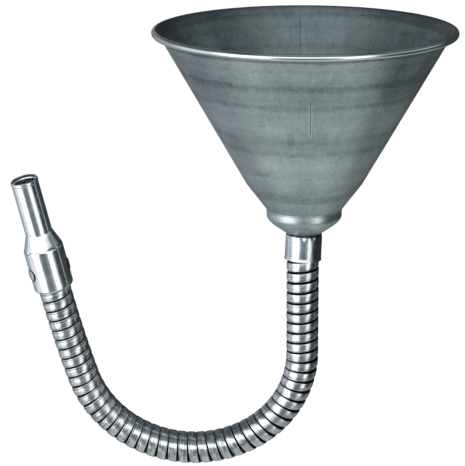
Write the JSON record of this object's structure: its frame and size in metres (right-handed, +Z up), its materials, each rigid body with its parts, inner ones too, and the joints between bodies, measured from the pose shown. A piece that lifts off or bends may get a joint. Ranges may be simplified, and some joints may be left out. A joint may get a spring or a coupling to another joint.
{
  "type": "flexible spout funnel",
  "caption": "Galvanised steel funnel with a rolled rim, a strainer, a self-supporting strip-wound metal hose and a reducing nozzle, for filling tanks and sumps.",
  "frame": {"origin": "centre of the funnel's mouth, in the plane of the rim wire", "axes": "+Z up along the funnel's axis and out of the mouth, -X towards the loop of the hose and the nozzle, +Y towards the back"},
  "size_m": [0.2407, 0.165, 0.2463],
  "materials": {
    "bowl_steel": "dull galvanised sheet with faint spinning bands and draw lines",
    "wire_steel": "drawn wire, hidden in the rim",
    "cup_steel": "satin galvanised sheet, smoother than the bowl",
    "solder": "soft grey solder",
    "strainer_brass": "dull brass",
    "screen_brass": "dull woven brass wire",
    "hose_strip": "bright galvanised strip",
    "ferrule_zinc": "bright zinc plate",
    "nozzle_zinc": "bright zinc plate",
    "rivet_steel": "plated steel with a faint yellow tint"
  },
  "bodies": {
    "bowl": {"funnel_bowl": "bowl_steel", "rim_wire": "wire_steel", "sump_cup": "cup_steel", "solder_seam": "solder", "strainer_ring": "strainer_brass", "strainer_screen": "screen_brass", "hose_ferrule": "ferrule_zinc", "hose_end_top": "hose_strip"},
    "turn_01": {"hose_turn_01": "hose_strip"},
    "turn_02": {"hose_turn_02": "hose_strip"},
    "turn_03": {"hose_turn_03": "hose_strip"},
    "turn_04": {"hose_turn_04": "hose_strip"},
    "turn_05": {"hose_turn_05": "hose_strip"},
    "turn_06": {"hose_turn_06": "hose_strip"},
    "turn_07": {"hose_turn_07": "hose_strip"},
    "turn_08": {"hose_turn_08": "hose_strip"},
    "turn_09": {"hose_turn_09": "hose_strip"},
    "turn_10": {"hose_turn_10": "hose_strip"},
    "turn_11": {"hose_turn_11": "hose_strip"},
    "turn_12": {"hose_turn_12": "hose_strip"},
    "turn_13": {"hose_turn_13": "hose_strip"},
    "turn_14": {"hose_turn_14": "hose_strip"},
    "turn_15": {"hose_turn_15": "hose_strip"},
    "turn_16": {"hose_turn_16": "hose_strip"},
    "turn_17": {"hose_turn_17": "hose_strip"},
    "turn_18": {"hose_turn_18": "hose_strip"},
    "turn_19": {"hose_turn_19": "hose_strip"},
    "turn_20": {"hose_turn_20": "hose_strip"},
    "turn_21": {"hose_turn_21": "hose_strip"},
    "turn_22": {"hose_turn_22": "hose_strip"},
    "turn_23": {"hose_turn_23": "hose_strip"},
    "turn_24": {"hose_turn_24": "hose_strip"},
    "turn_25": {"hose_turn_25": "hose_strip"},
    "turn_26": {"hose_turn_26": "hose_strip"},
    "turn_27": {"hose_turn_27": "hose_strip"},
    "turn_28": {"hose_turn_28": "hose_strip"},
    "turn_29": {"hose_turn_29": "hose_strip"},
    "turn_30": {"hose_turn_30": "hose_strip"},
    "turn_31": {"hose_turn_31": "hose_strip"},
    "turn_32": {"hose_turn_32": "hose_strip"},
    "turn_33": {"hose_turn_33": "hose_strip"},
    "turn_34": {"hose_turn_34": "hose_strip"},
    "turn_35": {"hose_turn_35": "hose_strip"},
    "turn_36": {"hose_turn_36": "hose_strip"},
    "turn_37": {"hose_turn_37": "hose_strip"},
    "turn_38": {"hose_turn_38": "hose_strip"},
    "turn_39": {"hose_turn_39": "hose_strip"},
    "turn_40": {"hose_turn_40": "hose_strip"},
    "turn_41": {"hose_turn_41": "hose_strip"},
    "turn_42": {"hose_turn_42": "hose_strip"},
    "turn_43": {"hose_turn_43": "hose_strip"},
    "turn_44": {"hose_turn_44": "hose_strip"},
    "turn_45": {"hose_turn_45": "hose_strip"},
    "turn_46": {"hose_turn_46": "hose_strip"},
    "turn_47": {"hose_turn_47": "hose_strip"},
    "turn_48": {"hose_turn_48": "hose_strip"},
    "turn_49": {"hose_turn_49": "hose_strip"},
    "nozzle_end": {"nozzle": "nozzle_zinc", "nozzle_rivets": "rivet_steel", "hose_end_bottom": "hose_strip"}
  },
  "joints": [
    {"name": "neck_swing", "type": "hinge", "parent": "bowl", "child": "turn_01", "pos_m": [-0.00057, 0, -0.12439], "axis": [-1, 0, 0], "range_deg": [-6.3, 6.3]},
    {"name": "neck_bend", "type": "hinge", "parent": "turn_01", "child": "turn_02", "pos_m": [-0.00057, 0, -0.13014], "axis": [0, 0.9986, 0.0523], "range_deg": [-6.3, 1.5]},
    {"name": "turn_03_swing", "type": "hinge", "parent": "turn_02", "child": "turn_03", "pos_m": [-0.00057, 0.0003, -0.13588], "axis": [-1, 0, 0], "range_deg": [-6.55, 6.55]},
    {"name": "turn_04_bend", "type": "hinge", "parent": "turn_03", "child": "turn_04", "pos_m": [-0.00057, 0.0006, -0.14162], "axis": [0, 0.9945, 0.1045], "range_deg": [-6.46, 1.66]},
    {"name": "turn_05_swing", "type": "hinge", "parent": "turn_04", "child": "turn_05", "pos_m": [-0.00057, 0.0012, -0.14734], "axis": [-1, 0, 0], "range_deg": [-6.55, 6.55]},
    {"name": "turn_06_bend", "type": "hinge", "parent": "turn_05", "child": "turn_06", "pos_m": [-0.00057, 0.0018, -0.15306], "axis": [0, 0.9945, 0.1045], "range_deg": [-6.46, 1.66]},
    {"name": "turn_07_swing", "type": "hinge", "parent": "turn_06", "child": "turn_07", "pos_m": [-0.00057, 0.00241, -0.15878], "axis": [-1, 0, 0], "range_deg": [-6.55, 6.55]},
    {"name": "turn_08_bend", "type": "hinge", "parent": "turn_07", "child": "turn_08", "pos_m": [-0.00057, 0.00301, -0.1645], "axis": [0, 0.9945, 0.1045], "range_deg": [-6.46, 1.66]},
    {"name": "turn_09_swing", "type": "hinge", "parent": "turn_08", "child": "turn_09", "pos_m": [-0.00057, 0.00361, -0.17021], "axis": [-1, 0, 0], "range_deg": [-6.55, 6.55]},
    {"name": "turn_10_bend", "type": "hinge", "parent": "turn_09", "child": "turn_10", "pos_m": [-0.00057, 0.00421, -0.17593], "axis": [0, 0.9945, 0.1045], "range_deg": [-6.46, 1.66]},
    {"name": "loop_bend", "type": "hinge", "parent": "turn_10", "child": "turn_11", "pos_m": [-0.00057, 0.00481, -0.18165], "axis": [0, 0.9945, 0.1045], "range_deg": [-5.89, 0.5]},
    {"name": "turn_12_curl", "type": "hinge", "parent": "turn_11", "child": "turn_12", "pos_m": [-0.00116, 0.00541, -0.18734], "axis": [0, 0.9945, 0.1045], "range_deg": [-6.02, 0.63]},
    {"name": "turn_13_curl", "type": "hinge", "parent": "turn_12", "child": "turn_13", "pos_m": [-0.00234, 0.006, -0.19294], "axis": [0, 0.9945, 0.1045], "range_deg": [-6.02, 0.63]},
    {"name": "turn_14_curl", "type": "hinge", "parent": "turn_13", "child": "turn_14", "pos_m": [-0.00408, 0.00657, -0.19839], "axis": [0, 0.9945, 0.1045], "range_deg": [-6.02, 0.63]},
    {"name": "turn_15_curl", "type": "hinge", "parent": "turn_14", "child": "turn_15", "pos_m": [-0.00638, 0.00712, -0.20363], "axis": [0, 0.9945, 0.1045], "range_deg": [-6.02, 0.63]},
    {"name": "turn_16_curl", "type": "hinge", "parent": "turn_15", "child": "turn_16", "pos_m": [-0.00921, 0.00764, -0.20861], "axis": [0, 0.9945, 0.1045], "range_deg": [-6.02, 0.63]},
    {"name": "turn_17_curl", "type": "hinge", "parent": "turn_16", "child": "turn_17", "pos_m": [-0.01253, 0.00813, -0.21327], "axis": [0, 0.9945, 0.1045], "range_deg": [-6.02, 0.63]},
    {"name": "turn_18_curl", "type": "hinge", "parent": "turn_17", "child": "turn_18", "pos_m": [-0.01632, 0.00858, -0.21757], "axis": [0, 0.9945, 0.1045], "range_deg": [-6.02, 0.63]},
    {"name": "turn_19_curl", "type": "hinge", "parent": "turn_18", "child": "turn_19", "pos_m": [-0.02054, 0.00899, -0.22146], "axis": [0, 0.9945, 0.1045], "range_deg": [-6.02, 0.63]},
    {"name": "turn_20_curl", "type": "hinge", "parent": "turn_19", "child": "turn_20", "pos_m": [-0.02513, 0.00936, -0.22491], "axis": [0, 0.9945, 0.1045], "range_deg": [-6.02, 0.63]},
    {"name": "turn_21_curl", "type": "hinge", "parent": "turn_20", "child": "turn_21", "pos_m": [-0.03005, 0.00967, -0.22786], "axis": [0, 0.9945, 0.1045], "range_deg": [-5.26, 0.55]},
    {"name": "turn_22_curl", "type": "hinge", "parent": "turn_21", "child": "turn_22", "pos_m": [-0.03522, 0.00993, -0.23036], "axis": [0, 0.9945, 0.1045], "range_deg": [-5.26, 0.55]},
    {"name": "turn_23_curl", "type": "hinge", "parent": "turn_22", "child": "turn_23", "pos_m": [-0.0406, 0.01014, -0.23239], "axis": [0, 0.9945, 0.1045], "range_deg": [-5.26, 0.55]},
    {"name": "turn_24_curl", "type": "hinge", "parent": "turn_23", "child": "turn_24", "pos_m": [-0.04613, 0.0103, -0.23393], "axis": [0, 0.9945, 0.1045], "range_deg": [-5.26, 0.55]},
    {"name": "turn_25_curl", "type": "hinge", "parent": "turn_24", "child": "turn_25", "pos_m": [-0.05179, 0.01041, -0.23498], "axis": [0, 0.9945, 0.1045], "range_deg": [-5.26, 0.55]},
    {"name": "turn_26_curl", "type": "hinge", "parent": "turn_25", "child": "turn_26", "pos_m": [-0.05751, 0.01047, -0.23551], "axis": [0, 0.9945, 0.1045], "range_deg": [-5.26, 0.55]},
    {"name": "turn_27_curl", "type": "hinge", "parent": "turn_26", "child": "turn_27", "pos_m": [-0.06326, 0.01047, -0.23553], "axis": [0, 0.9945, 0.1045], "range_deg": [-5.26, 0.55]},
    {"name": "turn_28_curl", "type": "hinge", "parent": "turn_27", "child": "turn_28", "pos_m": [-0.06899, 0.01042, -0.23504], "axis": [0, 0.9945, 0.1045], "range_deg": [-5.26, 0.55]},
    {"name": "turn_29_curl", "type": "hinge", "parent": "turn_28", "child": "turn_29", "pos_m": [-0.07465, 0.01031, -0.23403], "axis": [0, 0.9945, 0.1045], "range_deg": [-5.26, 0.55]},
    {"name": "turn_30_curl", "type": "hinge", "parent": "turn_29", "child": "turn_30", "pos_m": [-0.0802, 0.01016, -0.23253], "axis": [0, 0.9945, 0.1045], "range_deg": [-5.26, 0.55]},
    {"name": "turn_31_curl", "type": "hinge", "parent": "turn_30", "child": "turn_31", "pos_m": [-0.08559, 0.00995, -0.23054], "axis": [0.0203, 0.9871, 0.1586], "range_deg": [-5.27, 0.55]},
    {"name": "turn_32_curl", "type": "hinge", "parent": "turn_31", "child": "turn_32", "pos_m": [-0.09078, 0.00966, -0.22807], "axis": [0.0203, 0.9871, 0.1586], "range_deg": [-5.27, 0.55]},
    {"name": "turn_33_curl", "type": "hinge", "parent": "turn_32", "child": "turn_33", "pos_m": [-0.09572, 0.00929, -0.22516], "axis": [0.0203, 0.9871, 0.1586], "range_deg": [-5.27, 0.55]},
    {"name": "turn_34_curl", "type": "hinge", "parent": "turn_33", "child": "turn_34", "pos_m": [-0.10038, 0.00885, -0.22182], "axis": [0.0203, 0.9871, 0.1586], "range_deg": [-5.27, 0.55]},
    {"name": "turn_35_curl", "type": "hinge", "parent": "turn_34", "child": "turn_35", "pos_m": [-0.10472, 0.00834, -0.21808], "axis": [0.0203, 0.9871, 0.1586], "range_deg": [-5.27, 0.55]},
    {"name": "turn_36_curl", "type": "hinge", "parent": "turn_35", "child": "turn_36", "pos_m": [-0.1087, 0.00776, -0.21397], "axis": [0.0203, 0.9871, 0.1586], "range_deg": [-5.27, 0.55]},
    {"name": "turn_37_curl", "type": "hinge", "parent": "turn_36", "child": "turn_37", "pos_m": [-0.11229, 0.00712, -0.20953], "axis": [0.0203, 0.9871, 0.1586], "range_deg": [-5.27, 0.55]},
    {"name": "turn_38_curl", "type": "hinge", "parent": "turn_37", "child": "turn_38", "pos_m": [-0.11547, 0.00642, -0.20479], "axis": [0.0203, 0.9871, 0.1586], "range_deg": [-5.27, 0.55]},
    {"name": "turn_39_curl", "type": "hinge", "parent": "turn_38", "child": "turn_39", "pos_m": [-0.1182, 0.00568, -0.19978], "axis": [0.0203, 0.9871, 0.1586], "range_deg": [-5.27, 0.55]},
    {"name": "turn_40_curl", "type": "hinge", "parent": "turn_39", "child": "turn_40", "pos_m": [-0.12046, 0.00488, -0.19456], "axis": [0.0203, 0.9871, 0.1586], "range_deg": [-5.27, 0.55]},
    {"name": "tip_bend", "type": "hinge", "parent": "turn_40", "child": "turn_41", "pos_m": [-0.12224, 0.00405, -0.18915], "axis": [-0.035, 0.9894, 0.1407], "range_deg": [-6.5, 2.5]},
    {"name": "turn_42_bend", "type": "hinge", "parent": "turn_41", "child": "turn_42", "pos_m": [-0.12397, 0.00322, -0.18373], "axis": [-0.035, 0.9894, 0.1407], "range_deg": [-6.68, 2.68]},
    {"name": "turn_43_bend", "type": "hinge", "parent": "turn_42", "child": "turn_43", "pos_m": [-0.12563, 0.00239, -0.17829], "axis": [-0.035, 0.9894, 0.1407], "range_deg": [-6.68, 2.68]},
    {"name": "turn_44_bend", "type": "hinge", "parent": "turn_43", "child": "turn_44", "pos_m": [-0.12724, 0.00156, -0.17283], "axis": [-0.035, 0.9894, 0.1407], "range_deg": [-6.68, 2.68]},
    {"name": "turn_45_bend", "type": "hinge", "parent": "turn_44", "child": "turn_45", "pos_m": [-0.12881, 0.00072, -0.16737], "axis": [-0.035, 0.9894, 0.1407], "range_deg": [-6.68, 2.68]},
    {"name": "turn_46_bend", "type": "hinge", "parent": "turn_45", "child": "turn_46", "pos_m": [-0.13034, -0.00011, -0.16189], "axis": [-0.035, 0.9894, 0.1407], "range_deg": [-6.68, 2.68]},
    {"name": "turn_47_bend", "type": "hinge", "parent": "turn_46", "child": "turn_47", "pos_m": [-0.13184, -0.00094, -0.1564], "axis": [-0.035, 0.9894, 0.1407], "range_deg": [-6.68, 2.68]},
    {"name": "turn_48_bend", "type": "hinge", "parent": "turn_47", "child": "turn_48", "pos_m": [-0.13329, -0.00178, -0.1509], "axis": [-0.035, 0.9894, 0.1407], "range_deg": [-6.68, 2.68]},
    {"name": "turn_49_bend", "type": "hinge", "parent": "turn_48", "child": "turn_49", "pos_m": [-0.1347, -0.00261, -0.14538], "axis": [-0.035, 0.9894, 0.1407], "range_deg": [-6.68, 2.68]},
    {"name": "nozzle_bend", "type": "hinge", "parent": "turn_49", "child": "nozzle_end", "pos_m": [-0.13608, -0.00345, -0.13986], "axis": [-0.035, 0.9894, 0.1407], "range_deg": [-6.68, 2.68]}
  ],
  "couplings": [
    {"joint": "turn_03_swing", "follows": "neck_swing", "ratio": 1},
    {"joint": "turn_04_bend", "follows": "neck_bend", "ratio": 1},
    {"joint": "turn_05_swing", "follows": "neck_swing", "ratio": 1},
    {"joint": "turn_06_bend", "follows": "neck_bend", "ratio": 1},
    {"joint": "turn_07_swing", "follows": "neck_swing", "ratio": 1},
    {"joint": "turn_08_bend", "follows": "neck_bend", "ratio": 1},
    {"joint": "turn_09_swing", "follows": "neck_swing", "ratio": 1},
    {"joint": "turn_10_bend", "follows": "neck_bend", "ratio": 1},
    {"joint": "turn_12_curl", "follows": "loop_bend", "ratio": 1},
    {"joint": "turn_13_curl", "follows": "loop_bend", "ratio": 1},
    {"joint": "turn_14_curl", "follows": "loop_bend", "ratio": 1},
    {"joint": "turn_15_curl", "follows": "loop_bend", "ratio": 1},
    {"joint": "turn_16_curl", "follows": "loop_bend", "ratio": 1},
    {"joint": "turn_17_curl", "follows": "loop_bend", "ratio": 1},
    {"joint": "turn_18_curl", "follows": "loop_bend", "ratio": 1},
    {"joint": "turn_19_curl", "follows": "loop_bend", "ratio": 1},
    {"joint": "turn_20_curl", "follows": "loop_bend", "ratio": 1},
    {"joint": "turn_21_curl", "follows": "loop_bend", "ratio": 0.87436},
    {"joint": "turn_22_curl", "follows": "loop_bend", "ratio": 0.87436},
    {"joint": "turn_23_curl", "follows": "loop_bend", "ratio": 0.87436},
    {"joint": "turn_24_curl", "follows": "loop_bend", "ratio": 0.87436},
    {"joint": "turn_25_curl", "follows": "loop_bend", "ratio": 0.87436},
    {"joint": "turn_26_curl", "follows": "loop_bend", "ratio": 0.87436},
    {"joint": "turn_27_curl", "follows": "loop_bend", "ratio": 0.87436},
    {"joint": "turn_28_curl", "follows": "loop_bend", "ratio": 0.87436},
    {"joint": "turn_29_curl", "follows": "loop_bend", "ratio": 0.87436},
    {"joint": "turn_30_curl", "follows": "loop_bend", "ratio": 0.87436},
    {"joint": "turn_31_curl", "follows": "loop_bend", "ratio": 0.87585},
    {"joint": "turn_32_curl", "follows": "loop_bend", "ratio": 0.87585},
    {"joint": "turn_33_curl", "follows": "loop_bend", "ratio": 0.87585},
    {"joint": "turn_34_curl", "follows": "loop_bend", "ratio": 0.87585},
    {"joint": "turn_35_curl", "follows": "loop_bend", "ratio": 0.87585},
    {"joint": "turn_36_curl", "follows": "loop_bend", "ratio": 0.87585},
    {"joint": "turn_37_curl", "follows": "loop_bend", "ratio": 0.87585},
    {"joint": "turn_38_curl", "follows": "loop_bend", "ratio": 0.87585},
    {"joint": "turn_39_curl", "follows": "loop_bend", "ratio": 0.87585},
    {"joint": "turn_40_curl", "follows": "loop_bend", "ratio": 0.87585},
    {"joint": "turn_42_bend", "follows": "tip_bend", "ratio": 1},
    {"joint": "turn_43_bend", "follows": "tip_bend", "ratio": 1},
    {"joint": "turn_44_bend", "follows": "tip_bend", "ratio": 1},
    {"joint": "turn_45_bend", "follows": "tip_bend", "ratio": 1},
    {"joint": "turn_46_bend", "follows": "tip_bend", "ratio": 1},
    {"joint": "turn_47_bend", "follows": "tip_bend", "ratio": 1},
    {"joint": "turn_48_bend", "follows": "tip_bend", "ratio": 1},
    {"joint": "turn_49_bend", "follows": "tip_bend", "ratio": 1},
    {"joint": "nozzle_bend", "follows": "tip_bend", "ratio": 1}
  ]
}
